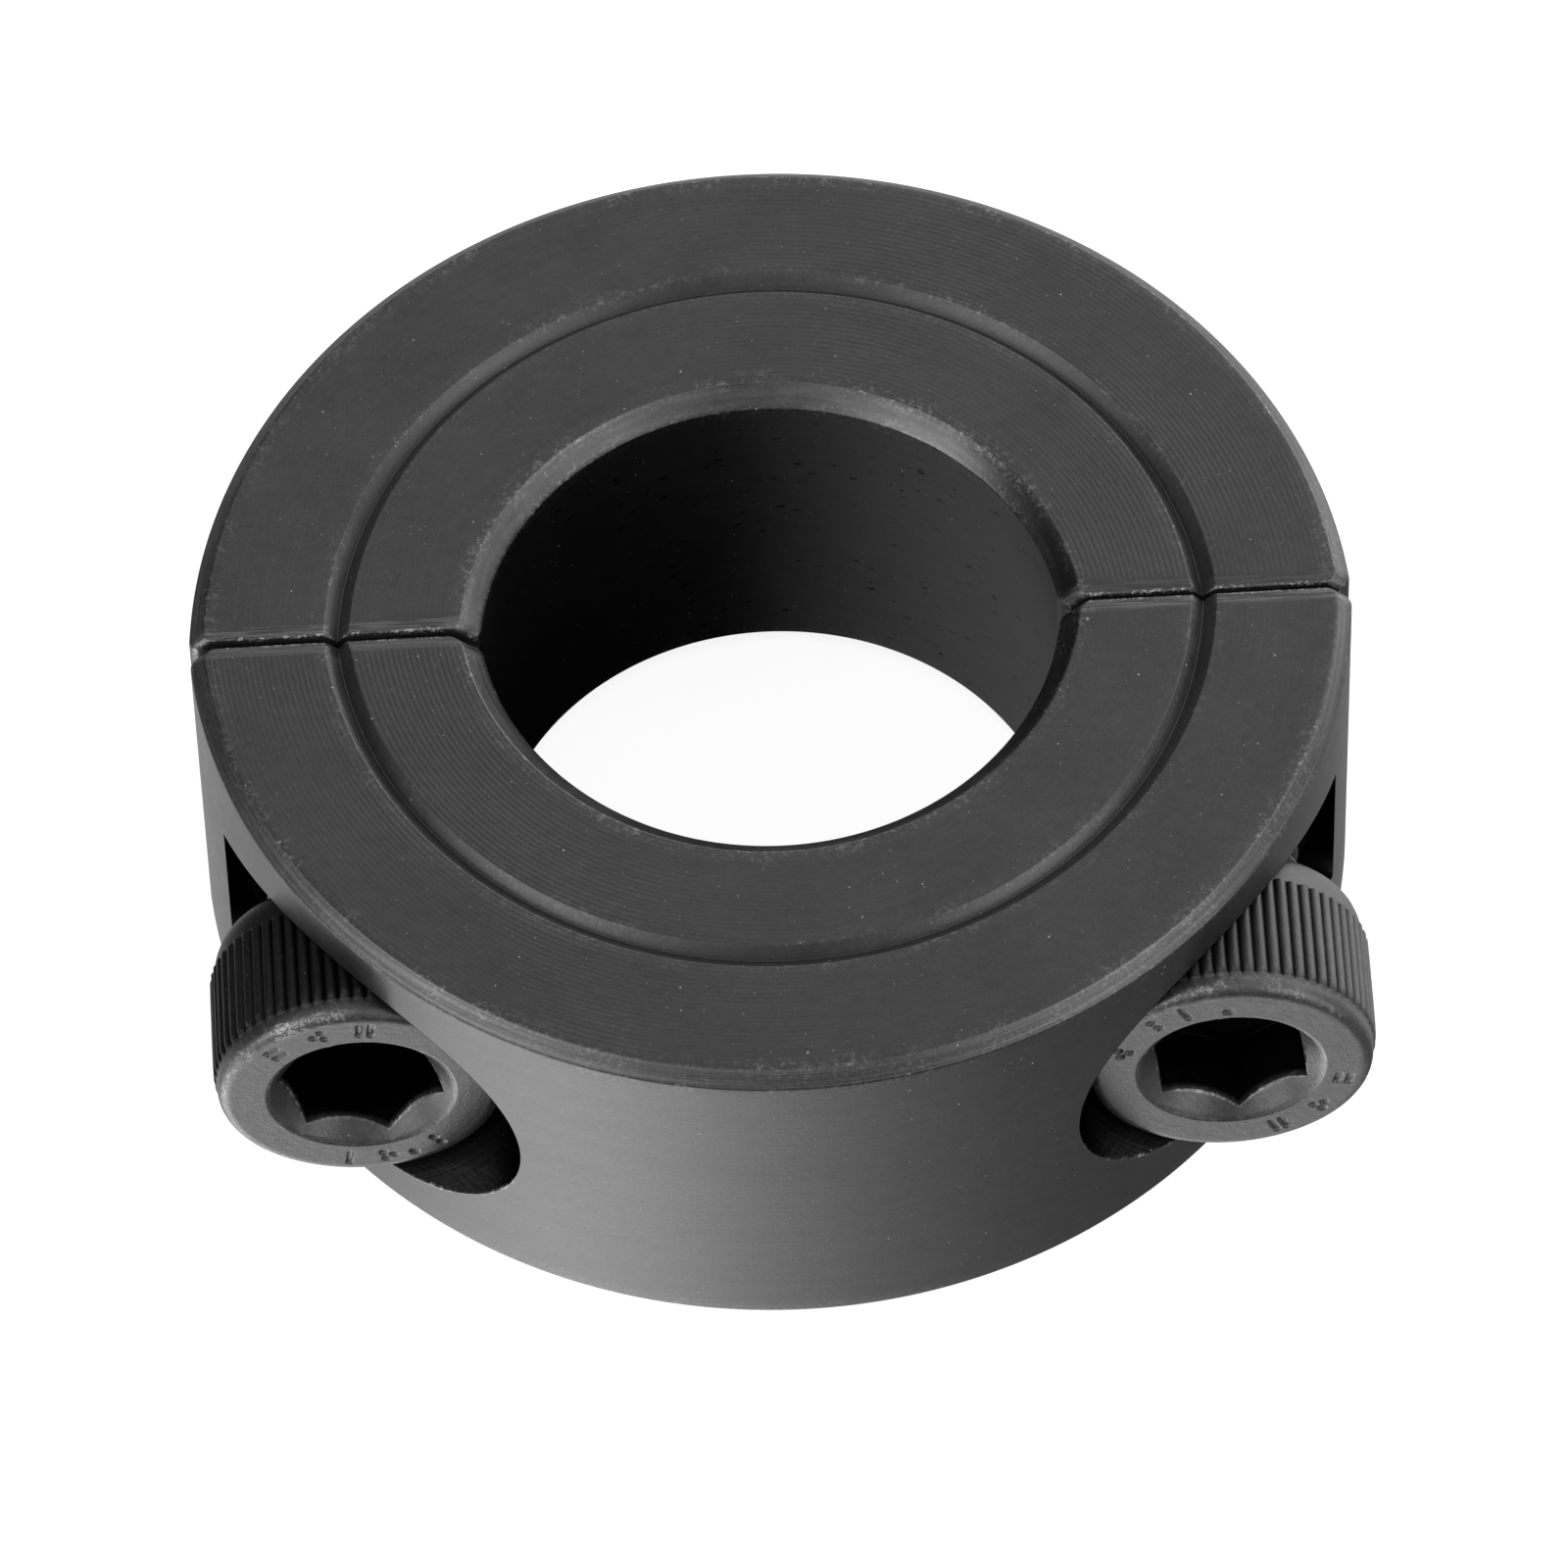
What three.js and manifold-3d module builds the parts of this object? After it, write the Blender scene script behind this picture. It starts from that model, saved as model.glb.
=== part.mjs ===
// Two-piece clamping shaft collar for a 20 mm shaft: two steel half rings drawn
// together by two M6 x 16 socket head cap screws.
//
// Frame: millimetres, +Z up along the bore. The origin is the centre of the
// collar on its lower face. The halves meet across the plane y = 0; the screw
// heads are on the -Y side (front) and the screws thread into the half on the
// +Y side (rear). Left is -X. The model rests with the halves pushed together
// and both screws backed out.

import * as THREE from 'three';
import { mergeVertices } from 'three/addons/utils/BufferGeometryUtils.js';
import Module from 'manifold-3d';

// ---------------------------------------------------------------- dimensions
// Ring
const SHAFT_D = 20;
const BORE_R = SHAFT_D / 2;
const OUTER_R = 20;
const WIDTH = 15;                   // along the shaft
const OUTER_CHAMFER = 0.5;          // 45 degrees, both faces
const BORE_CHAMFER = 0.7;           // 45 degrees, both faces
const GROOVE_R_IN = 14.5;           // turned V-shaped line on the upper face
const GROOVE_R_OUT = 15.35;
const GROOVE_DEPTH = 0.38;
const GROOVE_FLOOR_HALF = 0.06;     // half width of the flat at its bottom

// Split
const KERF = 2.0;                   // width of metal sawn away between the halves
const REST_GAP = 0.2;               // gap left with the halves pushed together
const SHIFT = (KERF - REST_GAP) / 2; // how far each half has moved inwards

// Screw thread, M6 x 1, right-hand; 60 degree flanks
const THREAD_D = 6;
const MAJOR_R = THREAD_D / 2;
const PITCH = 1.0;
const FLANK_ANGLE = Math.PI / 6;    // each flank, from square to the axis
const FLANK_PLAY = 0.045;           // running clearance on each flank, along the axis
const SCREW_CREST_R = 2.93;
const SCREW_ROOT_R = 2.42;
const TAP_ROOT_R = 3.12;            // bottom of the groove cut in the half ring
const TAP_CREST_R = 2.57;
const TAP_COUNTERSINK_R = 3.35;     // at the split face

// Screw shank
const SCREW_X = 14.85;              // screw axes, parallel to Y, at mid width
const SCREW_Z = WIDTH / 2;
const SCREW_LENGTH = 16;            // below the head
const TIP_R = SCREW_ROOT_R - 0.15;  // small end of the tip chamfer
const TIP_LENGTH = 0.95;
const NECK_R = 2.98;                // plain neck under the head
const NECK_FILLET_R = MAJOR_R + 0.22; // where the neck flares into the head
const NECK_FILLET_LENGTH = 0.25;
const NECK_PLAIN_END = 0.75;        // distances below the head
const NECK_TAPER_END = 1.2;
const NECK_TAPER_R = SCREW_ROOT_R - 0.1; // small end, buried in the thread
const THREAD_START = 0.6;

// Screw head
const HEAD_R = 4.86;                // plain shoulder under the knurl
const HEAD_HEIGHT = THREAD_D;
const HEAD_ROUND = 0.5;             // rounding of the edge round the end face
const ROUND_MIDDLE = 0.27;          // middle of that rounding, as a share of it
const KNURL_CREST_R = 5.08;
const KNURL_ROOT_R = 4.92;
const KNURL_FLUTES = 66;
const SHOULDER = 1.35;              // plain length at the underside of the head
const SHOULDER_TOP_R = HEAD_R - 0.1; // end buried in the knurled barrel
const SHOULDER_TOP_DEPTH = 1;       // that end, from the end face
const SHOULDER_WIDEST_R = HEAD_R + 0.02;
const SHOULDER_BEVEL = 0.35;        // height of the bevel round the underside
const UNDERSIDE_R = HEAD_R - 0.3;

// Hexagon socket
const HEX_ACROSS_FLATS = 5.0;
const HEX_FLAT_R = HEX_ACROSS_FLATS / 2;
const HEX_CORNER_R = HEX_FLAT_R / Math.cos(Math.PI / 6);
const SOCKET_DEPTH = 3.0;
const SOCKET_RIM_R = 3.22;          // 45 degree countersink at the mouth
const SOCKET_BORE_R = HEX_FLAT_R - 0.1; // round core, just inside the flats
const SOCKET_BORE_END = SOCKET_DEPTH - 0.05;
const SOCKET_POINT_END = SOCKET_DEPTH + 0.9; // tip of the drilled point

// Screws at rest. faceY is the end face of the head; hexTurn is the angle in
// degrees to a socket corner, from +X up towards +Z.
const LEFT_SCREW = { x: -SCREW_X, faceY: -13.85, hexTurn: 47.5 };
const RIGHT_SCREW = { x: SCREW_X, faceY: -14.75, hexTurn: 36.5 };

// Screw seats in the front half
const COUNTERBORE_R = 5.3;
const COUNTERBORE_FLOOR_Y = -5.0;
const CLEARANCE_R = 3.3;
const CLEARANCE_EDGE = 0.35;        // small countersink where the hole leaves the floor

// Facets per turn
const RING_SEGMENTS = 112;
const HOLE_SEGMENTS = 40;
const TAP_MOUTH_SEGMENTS = 36;
const TAP_LIMIT_SEGMENTS = 24;
const THREAD_SEGMENTS = 16;
const SHANK_SEGMENTS = 36;
const HEAD_SEGMENTS = 44;
const SOCKET_SEGMENTS = 48;

// ------------------------------------------------------------------- solids
const wasm = await Module();
wasm.setup();

// Six times the volume enclosed by the triangles, positive if they face out.
function signedVolume(points, triangles) {
  const corner = (i) => new THREE.Vector3().fromArray(points, triangles[i] * 3);
  let volume = 0;
  for (let i = 0; i < triangles.length; i += 3) {
    volume += corner(i).dot(corner(i + 1).cross(corner(i + 2)));
  }
  return volume;
}

// A closed three.js geometry as a manifold solid.
function solid(geometry) {
  // only positions are kept, so that seams between normals and UVs merge
  const bare = new THREE.BufferGeometry();
  bare.setAttribute('position', geometry.attributes.position);
  bare.setIndex(geometry.index);
  const merged = mergeVertices(bare, 1e-5);
  const vertProperties = new Float32Array(merged.attributes.position.array);

  // drop the zero-area triangles that a merged pole or seam leaves behind
  const corners = merged.index.array;
  const kept = [];
  for (let i = 0; i < corners.length; i += 3) {
    const triangle = [corners[i], corners[i + 1], corners[i + 2]];
    if (new Set(triangle).size === 3) kept.push(...triangle);
  }

  // a profile may run either way, so turn an inside-out surface round
  const triVerts = Uint32Array.from(kept);
  if (signedVolume(vertProperties, triVerts) < 0) {
    for (let i = 0; i < triVerts.length; i += 3) {
      [triVerts[i + 1], triVerts[i + 2]] = [triVerts[i + 2], triVerts[i + 1]];
    }
  }
  return new wasm.Manifold(new wasm.Mesh({ numProp: 3, vertProperties, triVerts }));
}

// A manifold solid as a three.js geometry.
function geometryOf(manifold) {
  const { vertProperties, triVerts } = manifold.getMesh();
  const geometry = new THREE.BufferGeometry();
  geometry.setAttribute('position', new THREE.BufferAttribute(vertProperties.slice(), 3));
  geometry.setIndex(new THREE.BufferAttribute(triVerts.slice(), 1));
  geometry.computeVertexNormals();
  return geometry;
}

// A turned shape about Z. The profile is a closed loop of [radius, height],
// or runs from the axis to the axis.
function turned(profile, segments) {
  const points = profile.map(([radius, height]) => new THREE.Vector2(radius, height));
  const geometry = new THREE.LatheGeometry(points, segments);
  geometry.rotateX(Math.PI / 2);     // the lathe turns about Y; stand it on Z
  return geometry;
}

// A turned shape whose barrel is knurled: two facets to each flute.
function fluted(profile) {
  const steps = KNURL_FLUTES * 2;
  const geometry = turned(profile, steps);
  const position = geometry.attributes.position;
  for (let i = 0; i < position.count; i++) {
    const x = position.getX(i);
    const y = position.getY(i);
    const radius = Math.hypot(x, y);
    const step = Math.round((Math.atan2(y, x) / (2 * Math.PI)) * steps + steps);
    const limit = step % 2 ? KNURL_ROOT_R : KNURL_CREST_R;
    if (radius > limit) position.setXY(i, (x * limit) / radius, (y * limit) / radius);
  }
  return geometry;
}

// Lays a shape built about +Z along +Y, on the axis of the screw at x.
function alongScrew(geometry, x) {
  geometry.rotateX(-Math.PI / 2);
  geometry.translate(x, 0, SCREW_Z);
  return geometry;
}

// ------------------------------------------------------------------- thread
// Half width of the ridge of a basic metric thread at a radius.
const ridgeHalf = (radius) => PITCH / 16 + (MAJOR_R - radius) * Math.tan(FLANK_ANGLE);

// A right-hand helical rod about Z that reaches past z = from and z = to. Its
// ridge runs from innerR to outerR, each flank moved out by widen. Rows of
// vertices follow the helix, so that it stays light.
function helicalRod({ innerR, outerR, widen, from, to }) {
  const innerHalf = ridgeHalf(innerR) + widen;
  const outerHalf = ridgeHalf(outerR) + widen;
  // one pitch, [radius, height from the middle of the ridge], going up
  const form = [
    [innerR, -innerHalf], [outerR, -outerHalf], [outerR, outerHalf], [innerR, innerHalf],
  ];
  const perTurn = form.length;
  const columns = THREAD_SEGMENTS;
  const firstTurn = Math.floor(from / PITCH) - 2;
  const turns = Math.ceil(to / PITCH) + 2 - firstTurn;
  const rows = turns * perTurn;
  const positions = [];
  const index = [];

  function addVertex(column, row) {
    const angle = (2 * Math.PI * column) / columns;
    const [radius, offset] = form[row % perTurn];
    const turn = firstTurn + Math.floor(row / perTurn) + column / columns;
    positions.push(radius * Math.cos(angle), radius * Math.sin(angle), PITCH * turn + offset);
  }
  for (let column = 0; column < columns; column++) {
    for (let row = 0; row <= rows; row++) addVertex(column, row);
  }
  // the first column carries on one turn further, so that the seam closes
  const extra = positions.length / 3;
  for (let row = rows + 1; row <= rows + perTurn; row++) addVertex(0, row);

  // past the last column comes the first, one turn higher
  function vertex(column, row) {
    if (column < columns) return column * (rows + 1) + row;
    const higher = row + perTurn;
    return higher <= rows ? higher : extra + higher - rows - 1;
  }
  for (let column = 0; column < columns; column++) {
    for (let row = 0; row < rows; row++) {
      const near = vertex(column, row);
      const farUpper = vertex(column + 1, row + 1);
      index.push(near, vertex(column + 1, row), farUpper);
      index.push(near, farUpper, vertex(column, row + 1));
    }
  }

  // ends: fans to a point on the axis, then across the step of one pitch
  const low = positions.length / 3;
  const high = low + 1;
  positions.push(0, 0, PITCH * (firstTurn + 0.5));
  positions.push(0, 0, PITCH * (firstTurn + turns + 0.5));
  for (let column = 0; column < columns; column++) {
    index.push(low, vertex(column + 1, 0), vertex(column, 0));
    index.push(high, vertex(column, rows), vertex(column + 1, rows));
  }
  for (let row = 0; row < perTurn; row++) {
    const upperRow = rows - perTurn + row;
    index.push(low, vertex(0, row), vertex(0, row + 1));
    index.push(high, vertex(columns, upperRow + 1), vertex(columns, upperRow));
  }

  const geometry = new THREE.BufferGeometry();
  geometry.setAttribute('position', new THREE.Float32BufferAttribute(positions, 3));
  geometry.setIndex(index);
  return geometry;
}

// ------------------------------------------------------------- the half rings
function ringBlank() {
  const grooveMiddle = (GROOVE_R_IN + GROOVE_R_OUT) / 2;
  const grooveFloor = WIDTH - GROOVE_DEPTH;
  return turned([
    [BORE_R, BORE_CHAMFER],
    [BORE_R + BORE_CHAMFER, 0],
    [OUTER_R - OUTER_CHAMFER, 0],
    [OUTER_R, OUTER_CHAMFER],
    [OUTER_R, WIDTH - OUTER_CHAMFER],
    [OUTER_R - OUTER_CHAMFER, WIDTH],
    [GROOVE_R_OUT, WIDTH],
    [grooveMiddle + GROOVE_FLOOR_HALF, grooveFloor],
    [grooveMiddle - GROOVE_FLOOR_HALF, grooveFloor],
    [GROOVE_R_IN, WIDTH],
    [BORE_R + BORE_CHAMFER, WIDTH],
    [BORE_R, WIDTH - BORE_CHAMFER],
    [BORE_R, BORE_CHAMFER],
  ], RING_SEGMENTS);
}

// The part of the ring on one side of the saw cut (+1 rear, -1 front), moved
// in to its rest place.
function halfRing(side) {
  const reach = OUTER_R + 10;
  const keep = new THREE.BoxGeometry(2 * reach, reach, 2 * reach);
  keep.translate(0, side * (KERF / 2 + reach / 2), 0);
  return solid(ringBlank()).intersect(solid(keep)).translate([0, -side * SHIFT, 0]);
}

// Tapped hole: threaded hole and a 45 degree countersink at the split face.
function tapTool(x) {
  const splitY = REST_GAP / 2;
  const from = splitY - 0.5;
  const to = OUTER_R;
  const rod = helicalRod({
    innerR: TAP_CREST_R, outerR: TAP_ROOT_R, widen: FLANK_PLAY, from, to,
  });
  const limitR = 2 * MAJOR_R;       // clear of the thread all round
  const limit = new THREE.CylinderGeometry(limitR, limitR, to - from, TAP_LIMIT_SEGMENTS);
  limit.translate(x, (from + to) / 2, SCREW_Z);

  const coneEndR = TAP_CREST_R - 0.2; // inside the threaded hole
  const coneEndY = splitY + TAP_COUNTERSINK_R - coneEndR;
  const countersink = turned([
    [0, splitY - 1],
    [TAP_COUNTERSINK_R + 1, splitY - 1],
    [TAP_COUNTERSINK_R, splitY],
    [coneEndR, coneEndY],
    [0, coneEndY],
  ], TAP_MOUTH_SEGMENTS);
  return solid(alongScrew(rod, x))
    .intersect(solid(limit))
    .add(solid(alongScrew(countersink, x)));
}

// Counterbore and clearance hole, cut from the outside of the front half.
function screwSeatTool(x) {
  const outsideY = -(OUTER_R + 5);
  const pastSplitY = 1;
  return solid(alongScrew(turned([
    [0, outsideY],
    [COUNTERBORE_R, outsideY],
    [COUNTERBORE_R, COUNTERBORE_FLOOR_Y],
    [CLEARANCE_R + CLEARANCE_EDGE, COUNTERBORE_FLOOR_Y],
    [CLEARANCE_R, COUNTERBORE_FLOOR_Y + CLEARANCE_EDGE],
    [CLEARANCE_R, pastSplitY],
    [0, pastSplitY],
  ], HOLE_SEGMENTS), x));
}

// Cuts the tool for each of the two screws out of a half ring.
function drilledHalf(side, tool) {
  return geometryOf(halfRing(side).subtract(tool(-SCREW_X)).subtract(tool(SCREW_X)));
}

// ------------------------------------------------------------ the clamp screw
// The parts are built about +Z, with the end face of the head at z = face, its
// underside at z = under and the tip above. Heights here become y in the
// shared frame, so that the thread is in step with the tapped hole.

// Thread, cut to length, with a chamfered tip.
function screwThread(under) {
  const tip = under + SCREW_LENGTH;
  const rod = helicalRod({
    innerR: SCREW_ROOT_R, outerR: SCREW_CREST_R, widen: -FLANK_PLAY, from: under, to: tip,
  });
  const limitR = MAJOR_R + 0.3;     // clear of the crests
  const limit = turned([
    [0, under + THREAD_START],
    [limitR, under + THREAD_START],
    [limitR, tip - TIP_LENGTH],
    [TIP_R, tip],
    [0, tip],
  ], SHANK_SEGMENTS);
  return solid(rod).intersect(solid(limit));
}

// Plain shoulder of the head, and the neck above the thread start.
function screwShoulder(face, under) {
  return solid(turned([
    [0, face + SHOULDER_TOP_DEPTH],
    [SHOULDER_TOP_R, face + SHOULDER_TOP_DEPTH],
    [SHOULDER_WIDEST_R, under - SHOULDER_BEVEL],
    [UNDERSIDE_R, under],
    [NECK_FILLET_R, under],
    [NECK_R, under + NECK_FILLET_LENGTH],
    [NECK_R, under + NECK_PLAIN_END],
    [NECK_TAPER_R, under + NECK_TAPER_END],
    [0, under + NECK_TAPER_END],
  ], HEAD_SEGMENTS));
}

// Knurled barrel of the head, rounded at the end face.
function knurledBarrel(face, under) {
  const roundStep = ROUND_MIDDLE * HEAD_ROUND;
  return solid(fluted([
    [0, face],
    [KNURL_CREST_R - HEAD_ROUND, face],
    [KNURL_CREST_R - roundStep, face + roundStep],
    [KNURL_CREST_R, face + HEAD_ROUND],
    [KNURL_CREST_R, under - SHOULDER],
    [0, under - SHOULDER],
  ]));
}

// Six flats of the socket, starting 1 mm outside the end face.
function hexTool(face, hexTurn) {
  const hex = new THREE.CylinderGeometry(HEX_CORNER_R, HEX_CORNER_R, SOCKET_DEPTH + 1, 6);
  hex.rotateX(Math.PI / 2);
  hex.rotateZ(THREE.MathUtils.degToRad(-hexTurn - 30));
  hex.translate(0, 0, face + (SOCKET_DEPTH - 1) / 2);
  return solid(hex);
}

// Countersunk mouth of the socket and the drilled point at its bottom.
function socketBoreTool(face) {
  const lead = 0.5;                 // start outside the end face
  return solid(turned([
    [0, face - lead],
    [SOCKET_RIM_R + lead, face - lead],
    [SOCKET_BORE_R, face + SOCKET_RIM_R - SOCKET_BORE_R],
    [SOCKET_BORE_R, face + SOCKET_BORE_END],
    [0, face + SOCKET_POINT_END],
  ], SOCKET_SEGMENTS));
}

function clampScrew({ x, faceY, hexTurn }) {
  const under = faceY + HEAD_HEIGHT;
  const whole = screwThread(under)
    .add(screwShoulder(faceY, under))
    .add(knurledBarrel(faceY, under))
    .subtract(hexTool(faceY, hexTurn))
    .subtract(socketBoreTool(faceY));
  return alongScrew(geometryOf(whole), x);
}

// ------------------------------------------------------------------ materials
const collarSteel = () => new THREE.MeshStandardMaterial({
  color: 0x37383a, roughness: 0.42, metalness: 0.8,
});
const screwSteel = () => new THREE.MeshStandardMaterial({
  color: 0x232325, roughness: 0.5, metalness: 0.75,
});

// ------------------------------------------------------------------ assembly
function piece(name, geometry, material) {
  const mesh = new THREE.Mesh(geometry, material);
  mesh.name = name;
  return mesh;
}

const collar = new THREE.Group();
collar.add(
  piece('rear_collar_half', drilledHalf(1, tapTool), collarSteel()),
  piece('front_collar_half', drilledHalf(-1, screwSeatTool), collarSteel()),
  piece('left_clamp_screw', clampScrew(LEFT_SCREW), screwSteel()),
  piece('right_clamp_screw', clampScrew(RIGHT_SCREW), screwSteel()),
);

export default collar;
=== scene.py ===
"""A two-piece clamp collar in black oxide steel, with two socket cap screws.

The bore axis is Z and the collar stands on z = 0. The rear half lies towards +Y and the front
half towards -Y. The screws run along Y, left at -X and right at +X, heads in the front half.
Lengths are in mm up to new_object(), which turns them into metres.
"""
import math
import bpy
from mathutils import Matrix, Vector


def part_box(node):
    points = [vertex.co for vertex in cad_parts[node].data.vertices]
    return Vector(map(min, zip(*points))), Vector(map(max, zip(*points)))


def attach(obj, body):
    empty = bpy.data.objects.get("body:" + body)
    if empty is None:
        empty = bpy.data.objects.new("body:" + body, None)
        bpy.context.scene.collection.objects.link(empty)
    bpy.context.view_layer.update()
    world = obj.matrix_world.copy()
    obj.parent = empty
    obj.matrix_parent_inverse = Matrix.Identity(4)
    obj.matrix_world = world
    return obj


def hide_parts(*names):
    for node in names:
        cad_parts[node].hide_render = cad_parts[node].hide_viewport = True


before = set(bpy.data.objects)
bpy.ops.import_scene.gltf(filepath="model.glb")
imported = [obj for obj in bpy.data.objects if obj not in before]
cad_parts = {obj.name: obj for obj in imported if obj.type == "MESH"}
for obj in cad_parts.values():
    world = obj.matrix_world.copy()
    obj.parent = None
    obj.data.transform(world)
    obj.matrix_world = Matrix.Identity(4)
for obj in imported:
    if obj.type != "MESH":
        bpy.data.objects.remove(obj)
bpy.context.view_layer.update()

from types import SimpleNamespace

import bmesh
import bpy
import numpy as np
from mathutils import Matrix, Vector

MM = 0.001


# ------------------------------------------------------------------ dimensions
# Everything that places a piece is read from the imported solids.
def box_mm(node):
    low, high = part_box(node)
    return np.array(low) / MM, np.array(high) / MM


def screw_place(node):
    """The screw's axis (x, z), and y at its end face and its tip."""
    low, high = box_mm(node)
    middle = (low + high) / 2
    return SimpleNamespace(x=float(round(middle[0], 3)), z=float(round(middle[2], 3)),
                           face=float(low[1]), tip=float(high[1]))


REAR, FRONT = 1, -1                          # side of the collar, as the sign of y
OUTER_R = 20.0
BORE_R = 10.0
rear_low, rear_high = box_mm("rear_collar_half")
WIDTH = float(rear_high[2])
HALF_GAP = float(rear_low[1])                # split face of the rear half
SHIFT = OUTER_R - float(rear_high[1])        # how far each half is moved in
HALF_KERF = HALF_GAP + SHIFT                 # split face, from the half's own bore axis
OUTER_CHAMFER = 0.5
BORE_CHAMFER = 0.7
GROOVE_IN, GROOVE_FOOT, GROOVE_OUT, GROOVE_DEPTH = 14.5, 14.89, 15.36, 0.42

LEFT_SCREW = screw_place("left_clamp_screw")
RIGHT_SCREW = screw_place("right_clamp_screw")
SCREW_X = (RIGHT_SCREW.x - LEFT_SCREW.x) / 2
SCREW_Z = LEFT_SCREW.z

CBORE_R = 5.3
CBORE_FLOOR = -5.0                           # y
CLEAR_R = 3.3
PITCH = 1.0
THREAD_R = 3.0
THREAD_PLAY = 0.045
HEAD_H = 6.0
PLAIN_BAND = 1.35                            # height of the band without flutes under the head
BAND_DEPTH = HEAD_H - PLAIN_BAND
FLUTES = 66
COLUMNS_PER_FLUTE = 10
HEX_FLATS = 5.0
SOCKET_DEPTH = 3.0
DRILL_DEPTH = 0.75                           # drill point below the socket floor
RIM_R = 3.22                                 # countersunk mouth of the socket


# ---------------------------------------------------------------- mesh helpers
def new_object(name, verts, faces):
    mesh = bpy.data.meshes.new(name)
    mesh.from_pydata((np.asarray(verts) * MM).tolist(), [], faces)
    mesh.update()
    obj = bpy.data.objects.new(name, mesh)
    bpy.context.scene.collection.objects.link(obj)
    return obj


def tidy(obj, merge=0.0):
    """Merges coincident vertices, drops zero faces, points the faces outwards."""
    bm = bmesh.new()
    bm.from_mesh(obj.data)
    if merge:
        bmesh.ops.remove_doubles(bm, verts=bm.verts, dist=merge * MM)
        bmesh.ops.dissolve_degenerate(bm, dist=1e-8, edges=bm.edges)
    bmesh.ops.recalc_face_normals(bm, faces=bm.faces)
    if bm.calc_volume(signed=True) < 0:
        bmesh.ops.reverse_faces(bm, faces=bm.faces)
    bm.to_mesh(obj.data)
    bm.free()
    obj.data.update()


def heal(obj):
    """Closes the hair-thin gaps an exact cut can leave."""
    bm = bmesh.new()
    bm.from_mesh(obj.data)
    for distance in (0.0002, 0.001, 0.004):
        rim = [edge for edge in bm.edges if edge.is_boundary]
        if not rim:
            break
        rim_verts = list({vert for edge in rim for vert in edge.verts})
        bmesh.ops.remove_doubles(bm, verts=rim_verts, dist=distance * MM)
    rim = [edge for edge in bm.edges if edge.is_boundary]
    if rim:
        bmesh.ops.holes_fill(bm, edges=rim, sides=0)
    loose = [vert for vert in bm.verts if not vert.link_faces]
    bmesh.ops.delete(bm, geom=loose, context="VERTS")
    bm.to_mesh(obj.data)
    bm.free()
    obj.data.update()


def smooth(obj, angle):
    obj.data.polygons.foreach_set("use_smooth", [True] * len(obj.data.polygons))
    obj.data.set_sharp_from_angle(angle=math.radians(angle))
    obj.data.update()


def subtract(obj, tools):
    for tool in tools:
        modifier = obj.modifiers.new("cut", "BOOLEAN")
        modifier.operation = "DIFFERENCE"
        modifier.solver = "EXACT"
        modifier.object = tool
    depsgraph = bpy.context.evaluated_depsgraph_get()
    cut = bpy.data.meshes.new_from_object(obj.evaluated_get(depsgraph), depsgraph=depsgraph)
    obj.modifiers.clear()
    old = obj.data
    obj.data = cut
    cut.name = old.name
    bpy.data.meshes.remove(old)
    for tool in tools:
        data = tool.data
        bpy.data.objects.remove(tool)
        bpy.data.meshes.remove(data)


def grid_faces(rows, columns):
    """Quads between rows of vertices that each close on themselves."""
    faces = []
    for row in range(rows - 1):
        low = row * columns
        high = low + columns
        for j in range(columns):
            k = (j + 1) % columns
            faces.append((low + j, low + k, high + k, high + j))
    return faces


def capped_faces(rows, columns):
    """The grid, with fans to two end vertices that follow the last row."""
    faces = grid_faces(rows, columns)
    first_end = rows * columns
    last_row = first_end - columns
    for j in range(columns):
        k = (j + 1) % columns
        faces.append((first_end, k, j))
        faces.append((first_end + 1, last_row + j, last_row + k))
    return faces


def float_attribute(obj, name, values):
    attribute = obj.data.attributes.new(name, "FLOAT", "POINT")
    attribute.data.foreach_set("value", np.asarray(values, np.float32))


def coordinates(obj):
    flat = np.zeros(len(obj.data.vertices) * 3, np.float64)
    obj.data.vertices.foreach_get("co", flat)
    return flat.reshape(-1, 3) / MM


def falloff(distance, width):
    return np.clip(1 - distance / width, 0, 1)


# -------------------------------------------------------------------- profiles
def filleted(corners, step):
    """A closed profile of (r, z, fillet radius) corners as a fine polyline with arcs."""
    count = len(corners)
    arcs = []
    for i in range(count):
        before, corner, after = (np.array(corners[k % count][:2], float)
                                 for k in (i - 1, i, i + 1))
        radius = corners[i][2]
        back, ahead = before - corner, after - corner
        back /= np.linalg.norm(back)
        ahead /= np.linalg.norm(ahead)
        half = math.acos(float(back @ ahead)) / 2
        tangent = radius / math.tan(half)
        bisector = (back + ahead) / np.linalg.norm(back + ahead)
        centre = corner + bisector * (radius / math.sin(half))
        start, end = corner + back * tangent, corner + ahead * tangent
        angle = math.atan2(*(start - centre)[::-1])
        end_angle = math.atan2(*(end - centre)[::-1])
        sweep = (end_angle - angle + math.pi) % (2 * math.pi) - math.pi
        pieces = max(3, int(abs(math.degrees(sweep)) / 9) + 1)
        arcs.append([centre + radius * np.array([math.cos(angle + sweep * share),
                                                 math.sin(angle + sweep * share)])
                     for share in np.linspace(0, 1, pieces + 1)])
    line = []
    for i in range(count):
        line += arcs[i]
        start, end = arcs[i][-1], arcs[(i + 1) % count][0]
        pieces = int(np.linalg.norm(end - start) / step)
        line += [start + (end - start) * share for share in np.linspace(0, 1, pieces + 2)[1:-1]]
    return np.array(line)


def profile_normals(line):
    """Outward normals of a loop that runs anticlockwise in (r, z)."""
    along = np.roll(line, -1, 0) - np.roll(line, 1, 0)
    normal = np.stack([along[:, 1], -along[:, 0]], 1)
    return normal / np.linalg.norm(normal, axis=1)[:, None]


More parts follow.
